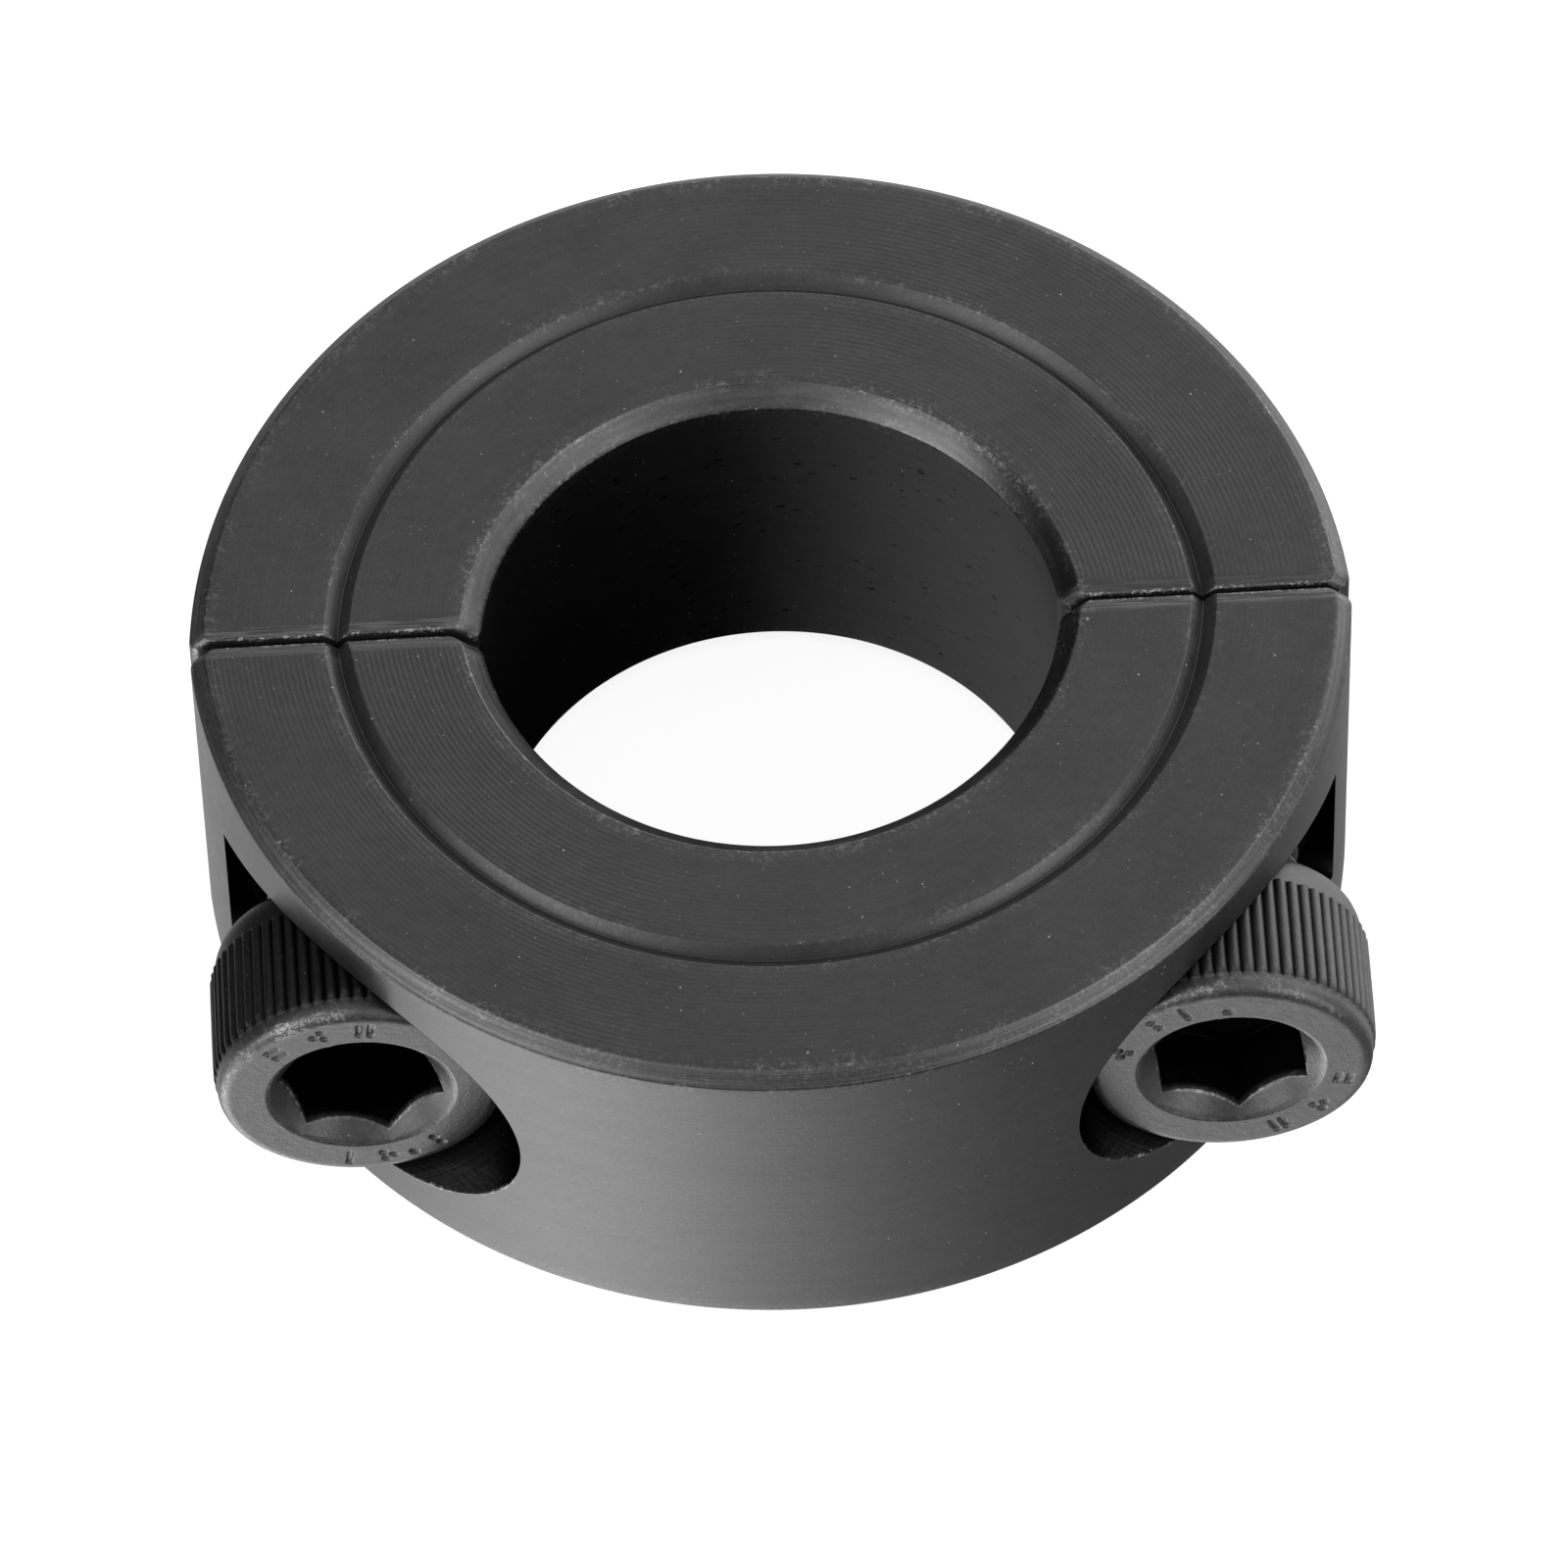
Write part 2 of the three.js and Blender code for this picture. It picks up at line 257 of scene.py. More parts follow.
def arc_points(centre_r, centre_y, radius, start, end, count):
    return [(centre_r + radius * math.cos(math.radians(angle)),
             centre_y + radius * math.sin(math.radians(angle)))
            for angle in np.linspace(start, end, count)]


def turned_along_y(name, profile, x, segments=192):
    """A turned solid on a screw's axis; profile is (radius, y) from the axis to the axis."""
    turn = np.linspace(0, 2 * math.pi, segments, endpoint=False)
    verts = [np.stack([x + r * np.cos(turn), np.full(segments, y), SCREW_Z + r * np.sin(turn)], 1)
             for r, y in profile[1:-1]]
    rows = len(verts)
    verts.append(np.array([[x, profile[0][1], SCREW_Z], [x, profile[-1][1], SCREW_Z]]))
    obj = new_object(name, np.concatenate(verts), capped_faces(rows, segments))
    tidy(obj)
    return obj


# ------------------------------------------------------------------ half rings
# Corners of the section: r, z, fillet radius.
RING_CORNERS = [
    (BORE_R, BORE_CHAMFER, 0.10), (BORE_R + BORE_CHAMFER, 0, 0.16),
    (OUTER_R - OUTER_CHAMFER, 0, 0.22), (OUTER_R, OUTER_CHAMFER, 0.20),
    (OUTER_R, WIDTH - OUTER_CHAMFER, 0.20), (OUTER_R - OUTER_CHAMFER, WIDTH, 0.22),
    (GROOVE_OUT, WIDTH, 0.09), (GROOVE_FOOT, WIDTH - GROOVE_DEPTH, 0.03),
    (GROOVE_IN, WIDTH, 0.07),
    (BORE_R + BORE_CHAMFER, WIDTH, 0.16), (BORE_R, WIDTH - BORE_CHAMFER, 0.10),
]
SECTION_STEP = 0.55
MIDDLE_STATIONS = 400
# Distances of the stations at each end from the split face.
END_REACH = (0, 0.008, 0.025, 0.055, 0.10, 0.16, 0.25, 0.36, 0.46, 0.55, 0.58, 0.75)
# The sawn ends are dressed by hand, so each has its own (corner radius, face drop):
# the +X end, then the -X end.
DRESSING = {REAR: ((0.50, 0.07), (0.36, 0.03)), FRONT: ((0.50, 0.04), (0.62, 0.13))}
DRESSED_LENGTH = 0.55
FACE_ROUND = 0.07
RIM_REACH, BORE_REACH = 2.2, 2.6             # how far in from rim and bore the rounding is felt


def round_inset(radius, distance):
    """How far a rounded corner lies inside the sharp one."""
    short = max(0.0, radius - distance)
    return radius - math.sqrt(max(radius**2 - short**2, 0))


def half_ring(name, side):
    line = filleted(RING_CORNERS, SECTION_STEP)
    normal = profile_normals(line)
    rows = len(line)
    r = line[:, 0]
    towards_rim = np.clip((r - (OUTER_R - RIM_REACH)) / (RIM_REACH - OUTER_CHAMFER), 0, 1)
    towards_bore = np.clip((BORE_R + BORE_REACH - r) / (BORE_REACH - BORE_CHAMFER), 0, 1)
    ends = []
    for end, (corner_r, drop) in enumerate(DRESSING[side]):
        stations = []
        for distance in END_REACH:
            taper = drop * (1 - min(distance / DRESSED_LENGTH, 1))
            section = line.copy()
            section[:, 1] -= normal[:, 1] * (round_inset(FACE_ROUND, distance) + taper)
            section[:, 0] += round_inset(corner_r, distance) * (towards_bore - towards_rim)
            angle = np.arcsin((HALF_KERF + distance) / section[:, 0])
            stations.append((section, angle if end == 0 else math.pi - angle))
        ends.append(stations)
    first, last = ends[0], ends[1][::-1]
    start, stop = first[-1][1], last[0][1]
    middle = [(line, start + (stop - start) * share)
              for share in np.linspace(0, 1, MIDDLE_STATIONS + 2)[1:-1]]
    stations = first + middle + last
    verts = []
    for section, angle in stations:
        x = section[:, 0] * np.cos(angle)
        y = side * (section[:, 0] * np.sin(angle) - SHIFT)
        verts.append(np.stack([x, y, section[:, 1]], 1))
    count = len(stations)
    faces = grid_faces(count, rows)
    faces.append(tuple(range(rows))[::-1])
    faces.append(tuple(range((count - 1) * rows, count * rows)))
    obj = new_object(name, np.concatenate(verts), faces)
    tidy(obj)
    return obj


def seat_tool(x):
    """Counterbore with a small radius at its floor, and the flared clearance hole."""
    floor, nose, lip, flare = CBORE_FLOOR, 0.22, 0.30, 0.75
    profile = [(0, -26), (CBORE_R, -26)]
    profile += [(CBORE_R, y) for y in np.linspace(-20, floor - nose - 0.3, 14)]
    profile += arc_points(CBORE_R - nose, floor - nose, nose, 0, 90, 7)
    profile += [(r, floor) for r in np.linspace(CBORE_R - nose - 0.15, CLEAR_R + 0.42, 5)]
    profile += arc_points(CLEAR_R + lip, floor + lip, lip, 262, 188, 5)
    profile += [(CLEAR_R, floor + 0.36), (CLEAR_R, -2.5), (CLEAR_R, -0.7),
                (CLEAR_R + flare, 0.05), (CLEAR_R + flare, 1), (0, 1)]
    return turned_along_y("tool", profile, x)


def mouth_tool(x):
    """Countersink where the tapped hole meets the split face."""
    # radius, y from the split face
    steps = [(0, -1), (3.95, -1), (3.95, -0.4), (3.35, 0.2), (2.3, 1.25), (0, 1.25)]
    return turned_along_y("tool", [(r, HALF_GAP + y) for r, y in steps], x, 96)


# --------------------------------------------------------------------- threads
def ridge_half(radius):
    """Half the width of a 60 degree ridge at a radius."""
    return PITCH / 16 + (THREAD_R - radius) * math.tan(math.pi / 6)


def thread_form(root, crest, play):
    """One pitch of a ridge, a little rounded: (offset along the axis, radius)."""
    root_half, crest_half = ridge_half(root) + play, ridge_half(crest) + play
    ease = 0.03
    return [
        (-root_half - ease, root), (-root_half + ease * 0.4, root + ease * 0.6),
        (-crest_half - ease, crest - ease * 1.1), (-crest_half + ease * 0.6, crest),
        (crest_half - ease * 0.6, crest), (crest_half + ease, crest - ease * 1.1),
        (root_half - ease * 0.4, root + ease * 0.6), (root_half + ease, root),
    ]


def threaded_rod(name, x, root, crest, play, limit, start, stop, segments):
    """A right-hand threaded rod along Y. limit(y) caps the radius; start and stop close it."""
    form = thread_form(root, crest, play)
    form_rows = len(form)
    first = math.floor(start) - 2
    rows = (math.ceil(stop) + 2 - first) * form_rows
    overrun = 0.35                           # past this the rod shrinks inside its own ends
    verts = []
    for i in range(segments):
        turn = 2 * math.pi * i / segments
        # the first column is one pitch longer, so the last can join it a pitch further on
        for m in range(rows + 1 + (form_rows if i == 0 else 0)):
            offset, r = form[m % form_rows]
            y = PITCH * (first + m // form_rows + i / segments) + offset
            held_y = min(max(y, start), stop)
            r = min(r, limit(held_y))
            if y < start - overrun or y > stop + overrun:
                r = min(r, root) * 0.9
            # right-hand about +Y: the angle runs from +X towards -Z
            verts.append((x + r * math.cos(turn), held_y, SCREW_Z - r * math.sin(turn)))

    def vertex(i, m):
        return m if i == 0 else form_rows + (i % segments) * (rows + 1) + m

    faces = []
    for i in range(segments):
        for m in range(rows):
            faces.append((vertex(i, m), vertex(i + 1, m), vertex(i + 1, m + 1), vertex(i, m + 1)))
    low, high = len(verts), len(verts) + 1
    verts += [(x, start, SCREW_Z), (x, stop, SCREW_Z)]
    for i in range(segments):
        faces.append((low, vertex(i + 1, 0), vertex(i, 0)))
        faces.append((high, vertex(i, rows), vertex(i + 1, rows)))
    for m in range(form_rows):
        step = rows - form_rows + m
        faces.append((low, vertex(0, m), vertex(0, m + 1)))
        faces.append((high, vertex(segments, step + 1), vertex(segments, step)))
    obj = new_object(name, verts, faces)
    tidy(obj, merge=0.0015)
    return obj


def tap_tool(x):
    return threaded_rod("tool", x, root=2.57, crest=3.12, play=THREAD_PLAY,
                        limit=lambda y: math.inf, start=HALF_GAP - 0.8, stop=OUTER_R + 1.0,
                        segments=72)


rear = half_ring("rear_half_ring", REAR)
subtract(rear, [tool(x) for tool in (tap_tool, mouth_tool) for x in (-SCREW_X, SCREW_X)])
front = half_ring("front_half_ring", FRONT)
subtract(front, [seat_tool(x) for x in (-SCREW_X, SCREW_X)])
for ring in (rear, front):
    heal(ring)
    smooth(ring, angle=28)

# Rubbed edges of the rings: r, z, width, strength.
RING_EDGES = [
    (OUTER_R - OUTER_CHAMFER, WIDTH, 0.20, 0.8), (OUTER_R, WIDTH - OUTER_CHAMFER, 0.14, 0.6),
    (OUTER_R - OUTER_CHAMFER, 0, 0.20, 0.8), (OUTER_R, OUTER_CHAMFER, 0.14, 0.6),
    (BORE_R + BORE_CHAMFER, WIDTH, 0.24, 0.75), (BORE_R, WIDTH - BORE_CHAMFER, 0.10, 0.8),
    (BORE_R + BORE_CHAMFER, 0, 0.24, 0.75), (BORE_R, BORE_CHAMFER, 0.10, 0.8),
    (GROOVE_IN, WIDTH, 0.08, 0.35), (GROOVE_OUT, WIDTH, 0.10, 0.5),
]


def ring_masks(obj, side):
    """Where the finish is rubbed through, sawn or filed, and the insides of the holes."""
    x, y, z = coordinates(obj).T
    r = np.hypot(x, y + side * SHIFT)
    wear = np.zeros(len(x))
    for edge_r, edge_z, width, strength in RING_EDGES:
        wear = np.maximum(wear, strength * falloff(np.hypot(r - edge_r, z - edge_z), width))
    from_split = np.abs(y) - HALF_GAP
    outside = (z < 0.22) | (z > WIDTH - 0.24) | (r > OUTER_R - 0.5) | (r < BORE_R + 0.4)
    sawn = falloff(np.abs(from_split - 0.03), 0.085) * outside
    flat_faces = (z > WIDTH - 0.2) | (z < 0.2)
    one_end_more = 0.45 + 0.55 * (x * -side > 0)
    filed = (falloff(np.maximum(from_split - 0.40, 0), 0.14)
             * (from_split > 0.01) * flat_faces * one_end_more)
    hole = np.zeros(len(x))
    for hand in (-1, 1):
        from_axis = np.hypot(x - hand * SCREW_X, z - SCREW_Z)
        if side == FRONT:
            inside = (from_axis < CBORE_R + 0.01) & (y < CBORE_FLOOR + 0.02)
        else:
            inside = from_axis < 3.3
        hole = np.maximum(hole, (inside & (r < OUTER_R - 0.02)) * 1.0)
    float_attribute(obj, "wear", wear)
    float_attribute(obj, "sawn", sawn)
    float_attribute(obj, "hole", hole)
    float_attribute(obj, "filed", filed)


ring_masks(rear, REAR)
ring_masks(front, FRONT)

# --------------------------------------------------------------------- screws
# Distance to each generic mark; u points outwards and v along the circle.
STAMPS = {
    "three": lambda u, v: np.minimum(np.hypot(np.abs(u) - 0.19, v + 0.12),
                                     np.hypot(u, v - 0.2)) * 0.75,
    "dot": lambda u, v: np.hypot(u, v) * 0.62,
    "dash": lambda u, v: np.hypot(np.maximum(np.abs(u) - 0.30, 0), v),
    "pair": lambda u, v: np.hypot(np.maximum(np.abs(u) - 0.27, 0), np.abs(np.abs(v) - 0.19)),
    "rows": lambda u, v: np.hypot(np.abs(u) - 0.2, np.maximum(np.abs(v) - 0.2, 0)) * 0.9,
    "twin": lambda u, v: np.hypot(np.abs(np.abs(u) - 0.2), v) * 0.7,
}
STAMP_DEPTH, STAMP_HALF, STAMP_SLOPE = 0.10, 0.125, 0.07


def stamp_depth(x, z, marks):
    """Depth of the (kind, angle, radius) marks sunk in the end face, at points from the axis."""
    depth = np.zeros_like(x)
    for kind, degrees, radius in marks:
        angle = math.radians(degrees)
        cos, sin = math.cos(angle), math.sin(angle)
        off_x, off_z = x - radius * cos, z - radius * sin
        distance = STAMPS[kind](off_x * cos + off_z * sin, -off_x * sin + off_z * cos)
        sunk = np.clip((STAMP_HALF - distance) / STAMP_SLOPE, 0, 1)
        depth = np.maximum(depth, STAMP_DEPTH * sunk)
    return depth


# The head's rows are (radius, depth from the end face).
FACE_ROUNDING = [(4.54, 0.006), (4.62, 0.025), (4.70, 0.06), (4.775, 0.115), (4.835, 0.19),
                 (4.875, 0.28), (4.90, 0.38), (4.915, 0.50)]
# Knurled barrel: depth, crest radius, share of the full flute.
BARREL = [(0.60, 4.92, 0.0), (0.66, 4.93, 0.12), (0.72, 4.95, 0.30), (0.79, 4.99, 0.55),
          (0.87, 5.02, 0.8), (0.97, 5.04, 0.95), (1.15, 5.05, 1.0), (2.0, 5.055, 1.0),
          (3.0, 5.055, 1.0), (4.0, 5.055, 1.0), (4.58, 5.05, 1.0)]
FLUTE_DEPTH = 0.155
# Plain band, underside and neck: radius, depth below the end of the flutes.
UNDER_BARREL = [
    (4.91, 0.012), (4.90, 0.05), (4.892, 0.2), (4.87, 0.45), (4.82, 0.70), (4.74, 0.93),
    (4.62, 1.13), (4.48, 1.27), (4.32, 1.335), (4.15, 1.35), (3.6, 1.35), (3.34, 1.35),
    (3.16, 1.38), (3.05, 1.45), (3.0, 1.58), (2.98, 1.75), (2.98, 2.05), (2.7, 2.35),
    (2.3, 2.6), (1.0, 2.6)]


def socket_rows(hex_r):
    """Socket floor with the drill point, hexagon walls and the countersunk mouth."""
    floor_r = 2.27
    rows = [(r, SOCKET_DEPTH + DRILL_DEPTH * (1 - r / 2.25)) for r in (0.5, 1.1, 1.7, 2.2)]
    rows += [(floor_r, SOCKET_DEPTH), (floor_r + (hex_r - floor_r) * 0.85, SOCKET_DEPTH),
             (hex_r - 0.02, SOCKET_DEPTH), (hex_r, SOCKET_DEPTH - 0.03)]
    mouth = RIM_R - hex_r                    # depth at which the countersink meets each wall
    rows += [(hex_r, mouth + (SOCKET_DEPTH - mouth) * share) for share in (0.85, 0.6, 0.35, 0.12)]
    rows += [(hex_r, mouth + 0.03), (hex_r + 0.012, mouth - 0.012)]
    rows += [(RIM_R - mouth * share, mouth * share) for share in (0.85, 0.65, 0.45, 0.25, 0.12)]
    return rows + [(RIM_R + 0.005, 0.035), (RIM_R + 0.035, 0.008)]


def barrel_rows(local):
    """Flutes round the barrel, with rounded ends; local is degrees from the hexagon's corner."""
    phase = (np.arange(len(local)) % COLUMNS_PER_FLUTE) / COLUMNS_PER_FLUTE
    valley = 1 - np.abs(np.sin(math.pi * phase)) ** 0.65      # 1 in the groove, 0 on the crest
    uneven = 0.012 * np.sin(local * 0.11) + 0.008 * np.sin(local * 0.37 + 1)
    rows = [(crest - FLUTE_DEPTH * share * valley - 0.01 * share * (1 + uneven / 0.012), depth)
            for depth, crest, share in BARREL]
    return rows + [(5.03 - 0.13 * valley, BAND_DEPTH)]


def screw_head(name, place, hex_turn, hex_r, local, marks):
    columns = len(local)
    turn = np.radians(hex_turn) + np.arange(columns) * 2 * math.pi / columns
    cos, sin = np.cos(turn), np.sin(turn)
    rows = socket_rows(hex_r)
    rows += [(r, stamp_depth(r * cos, r * sin, marks)) for r in np.linspace(RIM_R + 0.08, 4.46, 30)]
    rows += FACE_ROUNDING + barrel_rows(local)
    rows += [(r, BAND_DEPTH + depth) for r, depth in UNDER_BARREL]
    verts = []
    for r, depth in rows:
        depth = np.broadcast_to(depth, (columns,))
        verts.append(np.stack([place.x + r * cos, place.face + depth, place.z + r * sin], 1))
    verts.append(np.array([[place.x, place.face + SOCKET_DEPTH + DRILL_DEPTH, place.z],
                           [place.x, place.face + HEAD_H + 1.25, place.z]]))
    head = new_object(name, np.concatenate(verts), capped_faces(len(rows), columns))
    tidy(head)
    return head


def screw_shank(place):
    under = place.face + HEAD_H

    def limit(y):
        """Chamfers the tip, and runs the thread out under the head."""
        return min(2.94, 2.22 + max(0.0, place.tip - y) * 0.8,
                   2.45 + max(0.0, y - under - 0.9) * 0.9)
    return threaded_rod("shank", place.x, root=2.42, crest=2.94, play=-THREAD_PLAY, limit=limit,
                        start=under + 0.6, stop=place.tip, segments=64)


def head_masks(head, place, hex_turn, hex_r, rubbed):
    x, y, z = coordinates(head).T
    depth = y - place.face
    r = np.hypot(x - place.x, z - place.z)
    angle = np.arctan2(z - place.z, x - place.x)
    wall_r = HEX_FLATS / 2 / np.cos((angle - math.radians(hex_turn)) % (math.pi / 3) - math.pi / 6)
    mouth = RIM_R - wall_r
    # rounded edge of the end face, and the patches rubbed harder
    worn = [0.95 * falloff(np.hypot(r - 4.70, depth - 0.08), 0.20)]
    for centre, half_width, strength in rubbed:
        off = np.abs((np.degrees(angle) - centre + 180) % 360 - 180)
        worn.append(strength * falloff(off, half_width)
                    * falloff(np.hypot(r - 4.78, depth - 0.22), 0.62) * (r > 4.35))
    # rim of the socket, hexagon edge, and the two ends of the flutes
    worn.append(0.85 * falloff(np.hypot(r - RIM_R, depth), 0.07))
    worn.append(3.4 * falloff(np.hypot(r - wall_r, depth - mouth), 0.045)
                * (depth < 1.2) * (z < place.z + 1.2))
    worn.append(0.55 * falloff(np.abs(depth - 0.88), 0.16) * np.clip((r - 4.97) / 0.05, 0, 1))
    worn.append(0.5 * falloff(np.abs(depth - BAND_DEPTH), 0.06) * (r > 4.93))
    wear = np.zeros(len(x))
    for part in worn:
        wear = np.maximum(wear, part)
    float_attribute(head, "wear", wear)
    # the barrel and socket: the steel darkens them as painted shade, and draws lines along them
    barrel = np.clip((depth - 0.5) / 0.3, 0, 1) * (r > 4.1)
    socket = (r < hex_r.max() + 0.02) * (depth > 0.9)
    float_attribute(head, "dark", np.maximum(barrel, socket))
    # flute valleys and the inside of the socket, which the steel darkens as painted shade
    flutes = (0.8 * np.clip((5.03 - r) / 0.10, 0, 1)
              * (depth > 0.75) * (depth < BAND_DEPTH) * (r > 4.5))
    inside = (r < wall_r + 0.004) & (depth > mouth + 0.06) & (depth < SOCKET_DEPTH + 1)
    float_attribute(head, "hole", np.maximum(flutes, inside * 1.0))


def shank_masks(shank, place):
    x, y, z = coordinates(shank).T
    r = np.hypot(x - place.x, z - place.z)
    float_attribute(shank, "wear", 0.5 * np.clip((r - 2.88) / 0.05, 0, 1))
    # painted shade: half the barrel's darkening over the shank, and more in the thread roots
    float_attribute(shank, "dark", np.full(len(x), 0.5))
    float_attribute(shank, "hole", np.clip((2.6 - r) / 0.15, 0, 1))


def screw(name, place, hex_turn, rubbed, marks):
    """rubbed: (angle, half width, strength). marks: (kind, angle, radius). Angles in degrees."""
    columns = FLUTES * COLUMNS_PER_FLUTE
    local = np.arange(columns) * 360.0 / columns
    hex_r = HEX_FLATS / 2 / np.cos(np.radians((local % 60) - 30))
    head = screw_head(name, place, hex_turn, hex_r, local, marks)
    shank = screw_shank(place)
    head_masks(head, place, hex_turn, hex_r, rubbed)
    shank_masks(shank, place)
    pair = [head, shank]
    with bpy.context.temp_override(active_object=head, selected_editable_objects=pair,
                                   selected_objects=pair, object=head):
        bpy.ops.object.join()
    heal(head)
    smooth(head, angle=32)
    return head


left = screw("left_cap_screw", LEFT_SCREW, hex_turn=47.5, rubbed=[(124, 46, 2.4)], marks=[
    ("rows", 135, 3.97), ("three", 109, 3.95), ("pair", 86, 3.95),
    ("dash", 262, 4.0), ("three", 281, 3.98), ("dot", 294, 4.12), ("twin", 309, 3.98),
])
right = screw("right_cap_screw", RIGHT_SCREW, hex_turn=36.5, rubbed=[
    (120, 16, 3.0), (96, 24, 1.6), (70, 12, 2.0), (20, 20, 0.8),
], marks=[
    ("three", 160, 3.95), ("twin", 131, 4.0), ("dash", 114, 3.95), ("dot", 92, 3.62),
    ("rows", -13, 3.97), ("three", -39, 3.97), ("pair", -65, 3.97),
])


# --------------------------------------------------------------- shader graphs
def operation(name, swapped=False):
    """A method that adds a two-input Math node."""
    def method(self, other):
        first, second = (other, self) if swapped else (self, other)
        return self.graph.math(name, first, second)
    return method


class Signal:
    """A node's output. Arithmetic and comparison on it add Math nodes."""

    def __init__(self, graph, socket):
        self.graph = graph
        self.socket = socket

    __add__ = operation("ADD")
    __radd__ = operation("ADD", swapped=True)
    __sub__ = operation("SUBTRACT")
    __rsub__ = operation("SUBTRACT", swapped=True)
    __mul__ = operation("MULTIPLY")
    __truediv__ = operation("DIVIDE")
    __lt__ = operation("LESS_THAN")
    __gt__ = operation("GREATER_THAN")
    maximum = operation("MAXIMUM")

    def __abs__(self):
        return self.graph.math("ABSOLUTE", self)

    def scaled(self, times, plus):
        return self.graph.math("MULTIPLY_ADD", self, times, plus)

    def centred(self):
        """Turns 0..1 into -1..1."""
        return self.scaled(times=2.0, plus=-1.0)

    def ramp(self, start, end, low=0.0, high=1.0):
        """Smooth step from low at start to high at end."""
        return self.graph.value("ShaderNodeMapRange", "Result", {
            "Value": self, "From Min": start, "From Max": end, "To Min": low, "To Max": high,
        }, interpolation_type="SMOOTHSTEP")

    def split(self):
        node = self.graph.node("ShaderNodeSeparateXYZ", {0: self})
        return [Signal(self.graph, socket) for socket in node.outputs]


class Graph:
    """Writes the node tree of a material or world."""

    def __init__(self, owner):
        owner.use_nodes = True
        self.tree = owner.node_tree
        self.tree.nodes.clear()

    def node(self, kind, inputs=None, **settings):
        node = self.tree.nodes.new(kind)
        for key, value in settings.items():
            setattr(node, key, value)
        for key, value in (inputs or {}).items():
            if isinstance(value, Signal):
                self.tree.links.new(value.socket, node.inputs[key])
            else:
                node.inputs[key].default_value = value
        return node

    def value(self, kind, output=0, inputs=None, **settings):
        return Signal(self, self.node(kind, inputs, **settings).outputs[output])

    def math(self, name, *operands, clamp=False):
        return self.value("ShaderNodeMath", 0, dict(enumerate(operands)),
                          operation=name, use_clamp=clamp)

    def mix(self, start, end, factor):
        return self.value("ShaderNodeMix", 0, {0: factor, 2: start, 3: end}, data_type="FLOAT")

    def attribute(self, name):
        return self.value("ShaderNodeAttribute", "Fac", attribute_name=name)

    def vector(self, x, y, z):
        return self.value("ShaderNodeCombineXYZ", 0, {"X": x, "Y": y, "Z": z})

    def noise(self, vector, scale, detail=2.0, roughness=0.5):
        return self.value("ShaderNodeTexNoise", 0, {
            "Vector": vector, "Scale": scale, "Detail": detail, "Roughness": roughness,
        }, noise_dimensions="3D")

    def streaks(self, x, y, z, detail=2.0, roughness=0.5):
        """Noise over stretched coordinates: the larger a factor, the finer the marks that way."""
        return self.noise(self.vector(x, y, z), 1.0, detail, roughness)

    def specks(self, vector, scale, size, share):
        """Ragged specks in a share of the cells of a Voronoi pattern."""
        cells = self.node("ShaderNodeTexVoronoi", {"Vector": vector, "Scale": scale}, feature="F1")
        colour = Signal(self, cells.outputs["Color"])
        draws = self.node("ShaderNodeSeparateColor", {0: colour}).outputs
        pick, growth, strength = (Signal(self, socket) for socket in draws[:3])
        chosen = pick > 1 - share
        ragged = self.noise(vector, scale * 5.0, detail=1.0).scaled(times=1.8, plus=-0.9)
        distance = Signal(self, cells.outputs["Distance"]) / (growth * size + size * 0.2)
        near = (distance + ragged).ramp(start=1.0, end=0.45)
        return chosen * near * strength.scaled(times=0.7, plus=0.3)

    def distance(self, x, y):
        return self.math("SQRT", x * x + y * y)

    def grey(self, value):
        """A grey a trace on the blue side."""
        tint = (1.0, 1.0, 1.012)
        channels = {i: value * share for i, share in enumerate(tint)}
        return self.value("ShaderNodeCombineColor", 0, channels)

    def bump(self, height, distance_mm, strength, normal=None):
        inputs = {"Strength": strength, "Distance": distance_mm * MM, "Height": height}
        if normal is not None:
            inputs["Normal"] = normal
        return self.value("ShaderNodeBump", 0, inputs)

    def steel(self, base, shine, metallic, roughness, normal):
        """The surface and the material output. shine scales the specular reflection."""
        bsdf = self.node("ShaderNodeBsdfPrincipled", {
            "Base Color": self.grey(base), "Specular IOR Level": shine * 0.5,
            "Specular Tint": self.grey(shine), "Metallic": metallic,
            "Roughness": roughness, "Normal": normal,
        })
        self.node("ShaderNodeOutputMaterial", {0: Signal(self, bsdf.outputs[0])})
        return bsdf


def millimetres(graph, offset_y=0.0):
    """Object coordinates in mm: the vector, x, y + offset_y, z; and the coordinate node."""
    coords = graph.node("ShaderNodeTexCoord")
    position = graph.value("ShaderNodeVectorMath", 0, {
        0: Signal(graph, coords.outputs["Object"]), "Scale": 1000.0}, operation="SCALE")
    x, y, z = position.split()
    return position, x, y + offset_y, z, coords


OXIDE = 0.125                                # grey that the tone is multiplied by
METALLIC = 0.82
DUSTY_ROUGHNESS = 0.75


